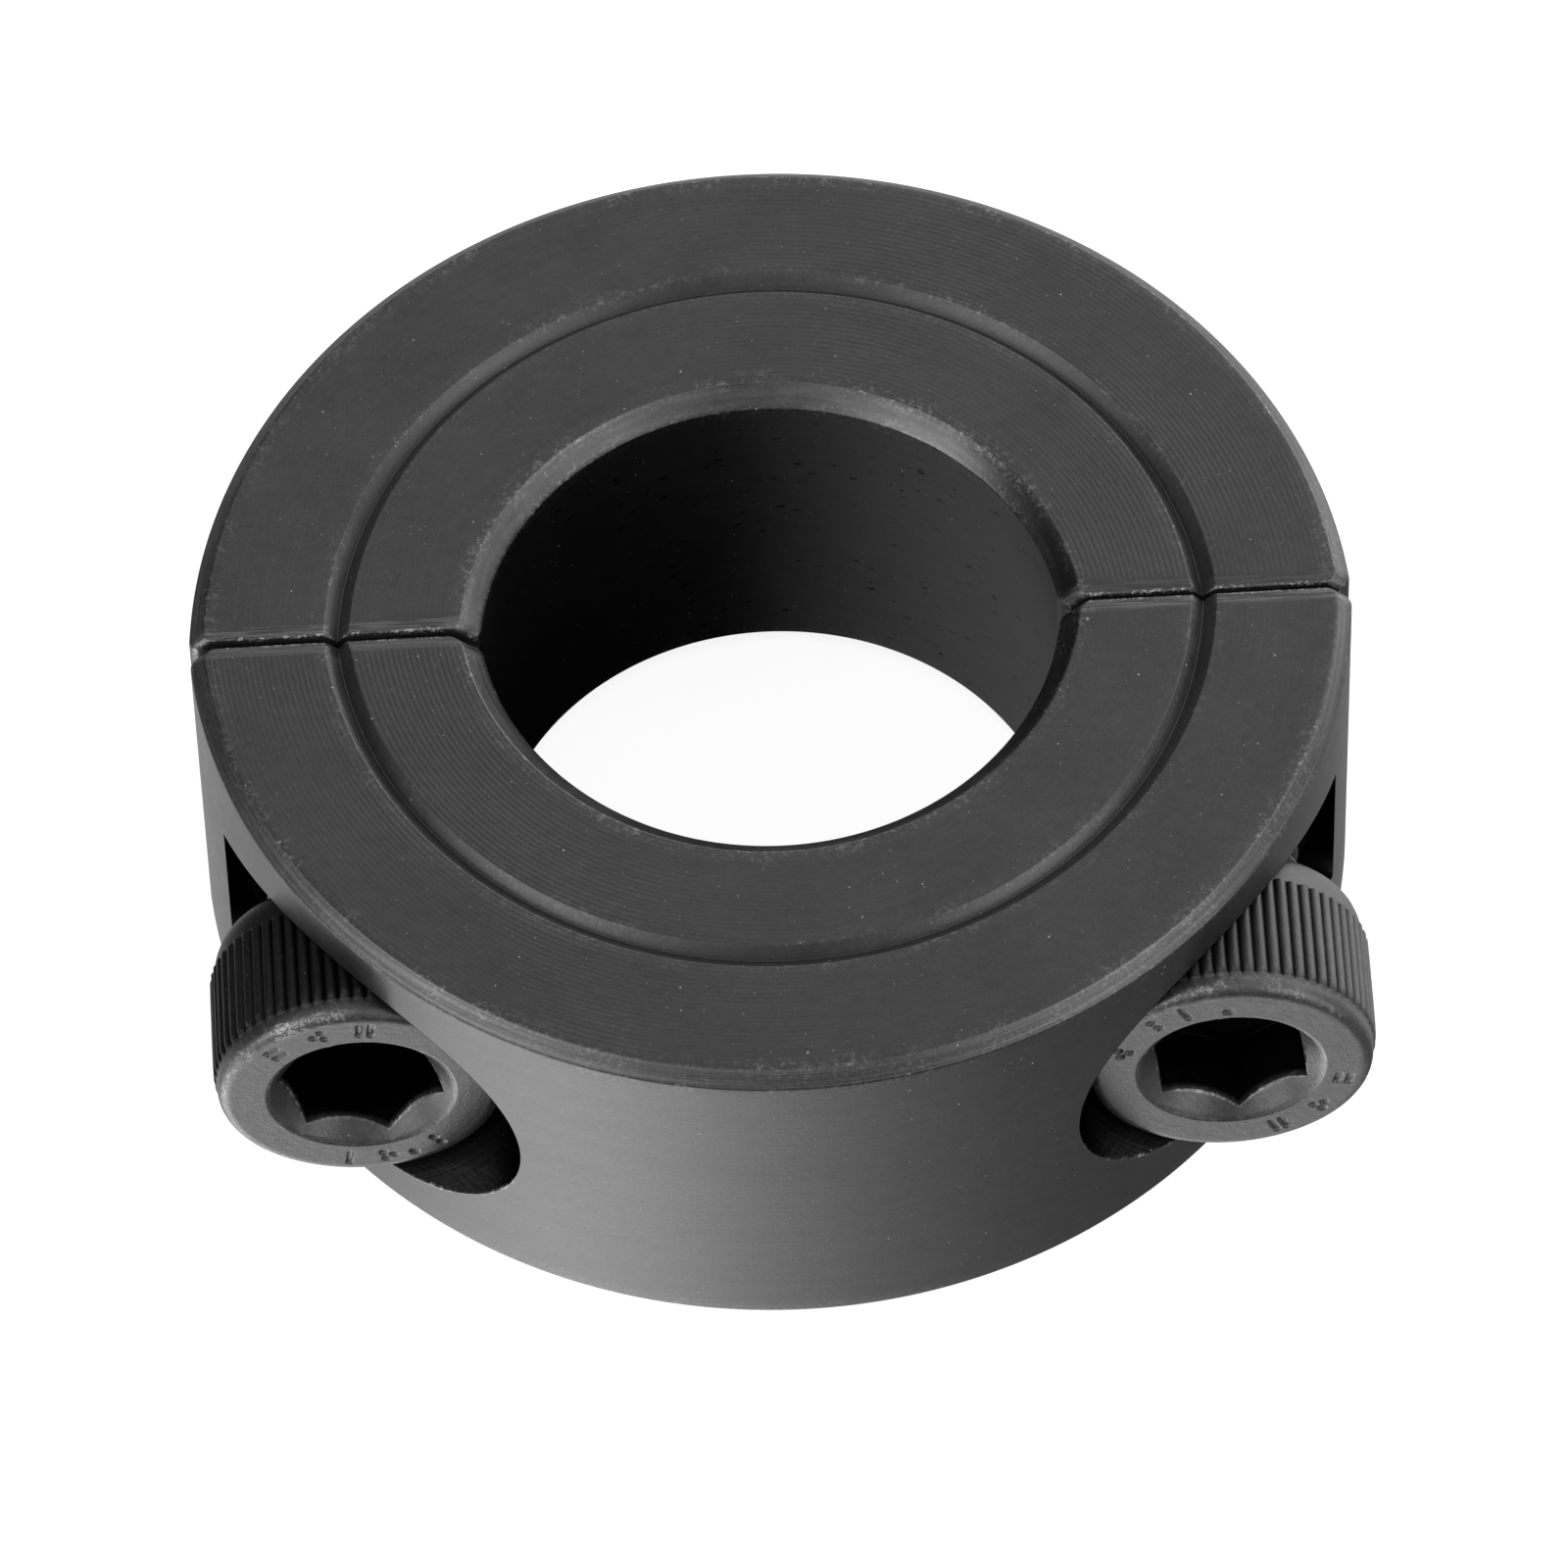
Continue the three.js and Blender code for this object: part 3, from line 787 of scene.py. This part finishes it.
# ---------------------------------------------------------------- collar steel
def collar_places(graph, side):
    """Coordinates on a half ring, and masks (0..1) of its regions."""
    position, x, y, z, coords = millimetres(graph, side * SHIFT)
    r = graph.distance(x, y)
    normal_z = Signal(graph, coords.outputs["Normal"]).split()[2]
    face = abs(normal_z).ramp(start=0.5, end=0.9)
    screw_x = abs(x) - SCREW_X
    screw_z = z - SCREW_Z
    screw_r = graph.distance(screw_x, screw_z)
    if side == FRONT:
        hole = (screw_r < CBORE_R + 0.02) * (position.split()[1] < CBORE_FLOOR + 0.05)
    else:
        hole = (screw_r < 3.2) * (r < OUTER_R - 0.01)
    from_split = abs(y - side * SHIFT) - HALF_GAP
    slopes = (abs(normal_z).ramp(start=0.35, end=0.6)
              - abs(normal_z).ramp(start=0.82, end=0.96))
    near_edges = abs(r - (OUTER_R + BORE_R) / 2).ramp(start=4.0, end=4.2)
    bevel = slopes * near_edges
    theta = graph.math("ARCTAN2", y, x)
    # streaks that run round the chamfers
    bevel_cut = graph.streaks((z - r) * 9.0, theta * 1.5, r + z, roughness=0.6)
    return SimpleNamespace(
        position=position, x=x, y=y, z=z, r=r, theta=theta, face=face, hole=hole, bevel=bevel,
        bevel_cut=bevel_cut, screw_x=screw_x, screw_z=screw_z, screw_r=screw_r,
        on_saw=from_split.ramp(start=0.012, end=0.004), filed=graph.attribute("filed"))


def collar_rubbing(graph, place, side):
    """How much of the finish is gone: worn edges, and bare sawn edges and hole lips."""
    position, r = place.position, place.r
    wear = graph.attribute("wear") * graph.noise(position, scale=0.55).ramp(
        start=0.38, end=0.62, low=0.30, high=1.25)
    at_rim = abs(r - OUTER_R).ramp(start=0.10, end=0.03)
    lip_r, lip_width = (CBORE_R, 0.12) if side == FRONT else (THREAD_R, 0.2)
    lip = abs(place.screw_r - lip_r).ramp(start=lip_width, end=0.01)
    patches = graph.noise(position, scale=0.7, detail=1.0).ramp(
        start=0.36, end=0.54, low=0.1, high=1.0)
    if side == FRONT:
        # only the lower part of the counterbore's lip
        lip_share = place.screw_z.ramp(start=-1.0, end=-3.5) * (place.y < CBORE_FLOOR - SHIFT)
    else:
        lip_share = 0.6
    sawn = graph.attribute("sawn") + lip * at_rim * (patches * lip_share)
    # on the flat sawn face only the outline is rubbed
    half = WIDTH / 2
    outline = abs(place.z - half).ramp(start=half - 0.26, end=half - 0.10).maximum(
        r.ramp(start=OUTER_R - 0.30, end=OUTER_R - 0.10).maximum(
            r.ramp(start=BORE_R + 0.35, end=BORE_R + 0.12)))
    edge_only = graph.mix(1.0, outline, factor=place.on_saw)
    return wear * edge_only, sawn * edge_only


def collar_normal(graph, place, side):
    """Fine grain under the tool marks."""
    position, x, y, z = place.position, place.x, place.y, place.z
    r, theta, face, hole = place.r, place.theta, place.face, place.hole
    # turned feed marks on the faces: wandering a little, stronger in some places than others
    feed_pitch = 0.195
    wander = graph.streaks(r * 0.9, theta * 0.6, 0.0, detail=1.0)
    wave = graph.math("SINE", r.scaled(times=2 * math.pi / feed_pitch, plus=wander * 3.0))
    rings = graph.streaks(r * 7.0, theta * 1.3, 3.0 * side, roughness=0.6)
    patchy = (graph.noise(position, scale=0.16).ramp(start=0.40, end=0.62, low=0.45, high=1.0)
              * (x * side).ramp(start=-9.0, end=5.0, low=0.22, high=1.15))
    # the feed marks fade out near the split
    kept = abs(position.split()[1] - 0.0).ramp(start=0.35, end=0.9)
    feed = wave * patchy * (face * kept) + rings.centred() * (face * 0.8)
    feed = feed * (1.0 - place.filed)
    strokes = graph.streaks(x * 0.7, y * 16.0, z * 16.0, roughness=0.6).centred() * place.filed
    # round the outside and the bore the marks run round at one height
    lines = graph.streaks(theta * 1.6, z * 9.0, r, detail=3.0, roughness=0.62)
    turned = lines.centred() * ((1.0 - face) * (1.0 - hole))
    teeth = graph.streaks(x * 0.5, x.scaled(times=0.9, plus=z * 5.5), 7.0 * side,
                          detail=3.0, roughness=0.6)
    turned = turned + teeth.centred() * (place.on_saw * 2.4)
    turned = turned + place.bevel_cut.centred() * (place.bevel * 4.5)
    # marks round the screw holes
    screw_angle = graph.math("ARCTAN2", place.screw_z, place.screw_x)
    bored = graph.streaks(y * 6.0, place.screw_r * 6.0, screw_angle * 0.5).centred() * hole
    grain = graph.noise(position, scale=16.0, detail=3.0, roughness=0.6)
    grain_normal = graph.bump(grain, distance_mm=0.006, strength=0.95)
    # heights of the kinds of mark, against each other
    marks = feed * 0.30 + (turned * 0.40 + bored * 3.4) + strokes * 2.2
    return graph.bump(marks, distance_mm=0.0055, strength=1.0, normal=grain_normal)


def collar_dust(graph, position):
    fine = (graph.specks(position, scale=6.5, size=0.17, share=0.14)
            + graph.specks(position, scale=1.1, size=0.055, share=0.22))
    coarse = graph.specks(position, scale=2.4, size=0.11, share=0.26)
    return graph.math("ADD", coarse, fine, clamp=True)


def bore_pits(graph, place):
    """Dark pits on the bore wall, drawn out round it."""
    theta = place.theta
    streaked = graph.vector(theta * 4.2, theta.scaled(times=1.2, plus=place.z), 0.0)
    pits = graph.math("ADD", graph.specks(streaked, scale=3.6, size=0.32, share=0.50),
                      graph.specks(place.position, scale=6.0, size=0.20, share=0.22), clamp=True)
    return pits * place.r.ramp(start=BORE_R + 0.1, end=BORE_R + 0.03)


def collar_shading(graph, place, base):
    """Paints shade in the holes, on the bore's chamfer at the right and on the bore wall at the
    left; paints sheen on the chamfers and light on the bore wall at the right; adds the bore wall's
    dark pits.
    """
    x, r, bevel = place.x, place.r, place.bevel
    # painted shade inside the counterbores and tapped holes, deepest in their upper part
    base = base * (1.0 - place.hole * place.screw_z.ramp(start=-5.0, end=-1.0, low=0.50, high=0.97))
    # painted sheen: the chamfers are lightened, in streaks along their turning marks
    cut = place.bevel_cut.ramp(start=0.35, end=0.65, low=0.10, high=0.85)
    base = base * bevel.scaled(times=cut, plus=1.0)
    # painted shade on the bore's chamfer, at the right
    shaded = bevel * r.ramp(start=11.0, end=10.85) * x.ramp(start=6.5, end=9.0)
    base = base * shaded.scaled(times=-0.6, plus=1.0)
    # painted shade on the bore wall at the left, and painted light at the right
    bore_wall = r.ramp(start=BORE_R + 0.12, end=BORE_R + 0.04)
    light_and_shade_over_x = x.ramp(start=-9.5, end=7.0, low=0.35, high=1.20)
    base = base * graph.mix(1.0, light_and_shade_over_x, factor=bore_wall)
    pits = bore_pits(graph, place).scaled(times=-0.95, plus=1.0)
    return graph.math("MULTIPLY", base, pits, clamp=True)


def collar_steel(name, side):
    material = bpy.data.materials.new(name)
    graph = Graph(material)
    place = collar_places(graph, side)
    position, hole, filed = place.position, place.hole, place.filed
    wear, sawn = collar_rubbing(graph, place, side)

    # uneven tone of the oxide
    cloud = graph.noise(position, scale=0.32, detail=4.0, roughness=0.62)
    blotch = graph.noise(position, scale=2.2, detail=3.0, roughness=0.6)
    arcs = graph.streaks(place.r * 5.0, place.theta * 2.2, place.z * 1.0,
                         detail=3.0, roughness=0.7)
    mottle = graph.noise(position, scale=8.0, roughness=0.6)
    tone = 0.43 + mottle * 0.30 + (cloud * 0.36 + (blotch * 0.28 + arcs * 0.20))
    dust = collar_dust(graph, position)

    # the rubbed places break up into flecks and chips
    flecks = graph.noise(position, 5.5, detail=3.0, roughness=0.7).ramp(start=0.51, end=0.64)
    fine = graph.noise(position, scale=13.0, roughness=0.7).ramp(start=0.54, end=0.63)
    chips = graph.noise(position, scale=5.0, roughness=0.7).ramp(start=0.54, end=0.61)
    worn = graph.math("MULTIPLY", wear, flecks.scaled(times=0.75, plus=fine * 0.35), clamp=True)
    raw = graph.math("MULTIPLY", sawn, chips.scaled(times=1.0, plus=fine * 0.35), clamp=True)
    scratches = graph.streaks(place.x * 0.5, place.y * 9.0, 0.0).ramp(
        start=0.42, end=0.62, low=0.0, high=0.24)
    bright = graph.math("ADD", worn * 0.7, raw * 0.5 + filed * scratches, clamp=True)

    bright_grey, raw_grey, dust_grey = 0.60, 0.80, 0.70
    base = collar_shading(graph, place, tone * OXIDE)
    base = graph.mix(base, bright_grey, factor=bright)
    base = graph.mix(base, raw_grey, factor=raw * 0.75)
    base = graph.mix(base, dust_grey, factor=dust * hole.scaled(times=-0.6, plus=0.85))
    bright_roughness = 0.36
    roughness = blotch * 0.12 + cloud.scaled(times=0.14, plus=0.21)
    roughness = graph.mix(roughness, bright_roughness, factor=bright)
    roughness = graph.mix(roughness, DUSTY_ROUGHNESS, factor=dust)
    metallic = graph.mix(graph.mix(METALLIC, 0.20, factor=raw), 0.0, factor=dust)
    # painted shade: the reflection is dimmed inside the holes, most in their upper part
    shine = 1.0 - hole * place.screw_z.ramp(start=-5.0, end=-1.5)
    bsdf = graph.steel(base, shine, metallic, roughness, collar_normal(graph, place, side))
    bsdf.inputs["IOR"].default_value = 1.5
    return material


# ----------------------------------------------------------------- screw steel
def screw_normal(graph, position, y, r, theta, grains, dark):
    """Grain, rings round the end face, and lines drawn along the dark barrel and socket."""
    grain, coarse = grains
    heading = graph.streaks(r * 6.0, theta * 1.5, y)
    drawn = graph.streaks(theta * 30.0, y * 1.2, r)
    height = grain + (coarse * 1.2 + heading * 0.4) + drawn * (dark * 0.8)
    return graph.bump(height, distance_mm=0.011, strength=0.95)


def screw_steel(name, screw_at, barrel_shade_gain, light_and_shade_over_x):
    """The gain scales the tone where "dark" is 1, a painted shade on the barrel and socket set per
    screw; the ramp is a tone over x there, painted light and shade.
    """
    material = bpy.data.materials.new(name)
    graph = Graph(material)
    position, x, y, z, _ = millimetres(graph)
    screw_x = x - screw_at.x
    screw_z = z - screw_at.z
    r = graph.distance(screw_x, screw_z)
    theta = graph.math("ARCTAN2", screw_z, screw_x)
    wear, dark, hole = (graph.attribute(key) for key in ("wear", "dark", "hole"))
    grain = graph.noise(position, scale=14.0, detail=3.0, roughness=0.62)
    coarse = graph.noise(position, scale=4.5, detail=3.0, roughness=0.6)
    blotch = graph.noise(position, scale=1.6, detail=4.0, roughness=0.6)
    normal = screw_normal(graph, position, y, r, theta, (grain, coarse), dark)

    wear = wear * graph.noise(position, scale=0.8).ramp(start=0.36, end=0.62, low=0.25, high=1.3)
    dust = graph.math("ADD", graph.specks(position, scale=2.8, size=0.11, share=0.24),
                      graph.specks(position, scale=8.0, size=0.18, share=0.12), clamp=True)
    flecks = graph.noise(position, 6.0, detail=3.0, roughness=0.7).ramp(start=0.48, end=0.62)
    fine = graph.noise(position, scale=15.0, roughness=0.7).ramp(start=0.52, end=0.62)
    worn = graph.math("MULTIPLY", wear, flecks.scaled(times=0.7, plus=fine * 0.4), clamp=True)
    # where the wear is heaviest the steel is bare
    heaviest = graph.math("SUBTRACT", wear, 0.75, clamp=True)
    bare = graph.math("MULTIPLY", heaviest, fine.scaled(times=0.6, plus=flecks * 0.5), clamp=True)

    worn_grey, bare_grey, dust_grey = 0.55, 0.80, 0.65
    base = (0.565 + (blotch * 0.50 + coarse * 0.34)) * OXIDE
    # painted shade: the barrel and socket are darkened, more on the left screw than on the right
    base = base * dark.scaled(times=barrel_shade_gain, plus=1.45)
    # painted light and shade across x on the barrel: darker towards the collar on the left screw,
    # lighter towards +X on the right
    base = base * graph.mix(1.0, screw_x.ramp(**light_and_shade_over_x), factor=dark.ramp(start=0.5, end=0.9))
    # painted shade in the flute valleys, the socket and the thread roots
    base = base * hole.scaled(times=-0.90, plus=1.0)
    base = graph.mix(base, worn_grey, factor=worn * 0.8)
    base = graph.mix(base, bare_grey, factor=bare * 0.70)
    base = graph.mix(base, dust_grey, factor=dust * hole.scaled(times=-0.7, plus=0.75))
    worn_roughness = 0.38
    roughness = 0.25 + (blotch * 0.16 + dark * 0.05)
    roughness = graph.mix(roughness, worn_roughness, factor=worn)
    roughness = graph.mix(roughness, DUSTY_ROUGHNESS, factor=dust)
    metallic = graph.mix(graph.mix(METALLIC, 0.15, factor=bare), 0.0, factor=dust)
    # with the reflection dimmed there as well, painted shade
    graph.steel(base, 1.0 - hole * 0.85, metallic, roughness, normal)
    return material


def dress(obj, material, node, body):
    obj.data.materials.clear()
    obj.data.materials.append(material)
    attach(obj, body)
    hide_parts(node)


dress(rear, collar_steel("collar_black_oxide_rear", REAR),
      "rear_collar_half", "rear_half")
dress(front, collar_steel("collar_black_oxide_front", FRONT),
      "front_collar_half", "front_half")
# the left screw's barrel in painted shade, deepest towards the collar
dress(left, screw_steel("screw_black_oxide_left", LEFT_SCREW, barrel_shade_gain=-0.95,
                        light_and_shade_over_x=dict(start=-3.0, end=3.5, low=1.0, high=0.40)),
      "left_clamp_screw", "left_screw")
# the right screw's barrel lighter, a painted light growing towards +X
dress(right, screw_steel("screw_black_oxide_right", RIGHT_SCREW, barrel_shade_gain=-0.35,
                         light_and_shade_over_x=dict(start=-2.0, end=4.5, low=0.80, high=1.55)),
      "right_clamp_screw", "right_screw")

# --------------------------------------------------------------- world, floor
# Soft lobes of light: azimuth and elevation in degrees, strength, and a tightness
# where it isn't LOBE_TIGHTNESS.
LOBE_TIGHTNESS = 10.0
SKY_LOBES = [
    (38, 10, 0.55, 14), (214, 25, 1.15, 22), (328, 26, 1.00, 22),
    (45, 5, 0.808), (90, 5, 0.499), (225, 5, 0.791), (315, 5, 0.574),
    (22.5, 35, 0.137), (67.5, 35, 0.825), (202.5, 35, 0.400), (247.5, 35, 0.100),
    (337.5, 35, 0.520),
    (30, 62, 0.224), (210, 62, 0.540), (270, 62, 0.088), (330, 62, 0.224),
]
FLOOR_LOBES = [
    (118, -50, 0.62), (62, -50, 0.05), (226, -58, 1.00, 30),
    (0, -15, 0.296), (45, -15, 0.980), (90, -15, 0.235), (180, -15, 0.165),
    (225, -15, 0.317), (315, -15, 0.247),
    (22.5, -40, 0.056), (67.5, -40, 0.107), (202.5, -40, 1.15), (337.5, -40, 0.006),
    (162, -66, 0.030), (234, -66, 1.532), (306, -66, 0.059),
]


def glow(graph, direction, lobes):
    """The studio seen in one direction: a sum of the lobes."""
    total = 0.0
    for azimuth, elevation, strength, *own in lobes:
        tightness = own[0] if own else LOBE_TIGHTNESS
        turn, rise = math.radians(azimuth), math.radians(elevation)
        axis = (math.cos(rise) * math.cos(turn), math.cos(rise) * math.sin(turn), math.sin(rise))
        cosine = graph.value("ShaderNodeVectorMath", "Value", {0: direction, 1: axis},
                             operation="DOT_PRODUCT")
        # Exponent has one operand; its second input is idle and held at zero
        fall = graph.math("EXPONENT", cosine.scaled(times=tightness, plus=-tightness), 0.0)
        total = fall.scaled(times=strength, plus=total)
    return total


def studio_world():
    world = bpy.data.worlds.new("studio")
    graph = Graph(world)
    sky = glow(graph, graph.value("ShaderNodeTexCoord", "Generated"), SKY_LOBES)
    background = graph.value("ShaderNodeBackground", 0, {"Color": (1, 1, 1, 1), "Strength": sky})
    graph.node("ShaderNodeOutputWorld", {0: background})
    return world


def floor_material():
    """Pale to the camera; the steel mirrors it as a sweep of light."""
    material = bpy.data.materials.new("floor_pale")
    graph = Graph(material)
    geometry = graph.node("ShaderNodeNewGeometry").outputs
    away = graph.value("ShaderNodeVectorMath", 0, {
        0: Signal(graph, geometry["Incoming"]), "Scale": -1.0}, operation="SCALE")
    sweep = glow(graph, away, FLOOR_LOBES)
    # inside the bore the floor is dim, and brighter to rays that run towards -X
    from_axis = graph.value("ShaderNodeVectorMath", "Value", {
        0: Signal(graph, geometry["Position"])}, operation="LENGTH")
    outside_bore = from_axis.ramp(start=0.0135, end=0.0155)
    under_bore = away.split()[0].scaled(times=-0.34, plus=0.035).maximum(0.0)
    sweep = graph.mix(under_bore, sweep, factor=outside_bore)
    mirrored = graph.value("ShaderNodeEmission", 0, {"Strength": sweep})
    pale = graph.value("ShaderNodeBsdfDiffuse", 0, {"Color": (0.82, 0.82, 0.82, 1)})
    lit = graph.value("ShaderNodeEmission", 0, {"Strength": 0.86})
    seen = graph.value("ShaderNodeAddShader", 0, {0: pale, 1: lit})
    rays = graph.node("ShaderNodeLightPath").outputs
    for_camera = graph.value("ShaderNodeMixShader", 0, {
        0: Signal(graph, rays["Is Camera Ray"]), 1: pale, 2: seen})
    for_steel = graph.value("ShaderNodeMixShader", 0, {
        0: Signal(graph, rays["Is Glossy Ray"]), 1: for_camera, 2: mirrored})
    graph.node("ShaderNodeOutputMaterial", {0: for_steel})
    return material


def add_floor():
    half = 1.2                               # metres
    mesh = bpy.data.meshes.new("floor")
    mesh.from_pydata([(-half, -half, 0), (half, -half, 0), (half, half, 0), (-half, half, 0)],
                     [], [(0, 1, 2, 3)])
    floor = bpy.data.objects.new("floor", mesh)
    floor.location.z = -0.00002              # just clear of the collar
    scene.collection.objects.link(floor)
    mesh.materials.append(floor_material())


scene = bpy.context.scene
scene.view_settings.view_transform = "Standard"
scene.view_settings.look = "None"
scene.world = studio_world()
add_floor()

# -------------------------------------------------------------------- camera
SENSOR_WIDTH = 36.0
LENS = 322.74405
CAMERA_DISTANCE = 494.274
CAMERA_ELEVATION, CAMERA_ROLL, CAMERA_TURN = 56.3241, 1.7678, 1.579    # degrees
AIM_X, AIM_Y = -0.14424975, -1.65288825      # where the origin falls on the sensor, mm


def add_camera():
    elevation = math.radians(CAMERA_ELEVATION)
    back = Vector((0, -math.cos(elevation), math.sin(elevation)))
    right_axis = Vector((1, 0, 0))
    basis = Matrix((right_axis, back.cross(right_axis), back))
    cos, sin = math.cos(math.radians(CAMERA_ROLL)), math.sin(math.radians(CAMERA_ROLL))
    roll = Matrix(((cos, -sin, 0), (sin, cos, 0), (0, 0, 1)))
    sight = Vector((AIM_X / LENS, AIM_Y / LENS, -1)).normalized()
    aim = Vector((0, 0, -1)).rotation_difference(sight).to_matrix()
    to_camera = aim @ roll @ basis
    turn = Matrix.Rotation(math.radians(-CAMERA_TURN), 3, "Z")
    rotation = turn @ to_camera.transposed()
    data = bpy.data.cameras.new("camera")
    data.sensor_width = SENSOR_WIDTH
    data.lens = LENS
    data.clip_start = 0.01
    data.clip_end = 10.0
    camera = bpy.data.objects.new("camera", data)
    position = turn @ (back * (CAMERA_DISTANCE * MM))
    camera.matrix_world = Matrix.Translation(position) @ rotation.to_4x4()
    scene.collection.objects.link(camera)
    scene.camera = camera


add_camera()
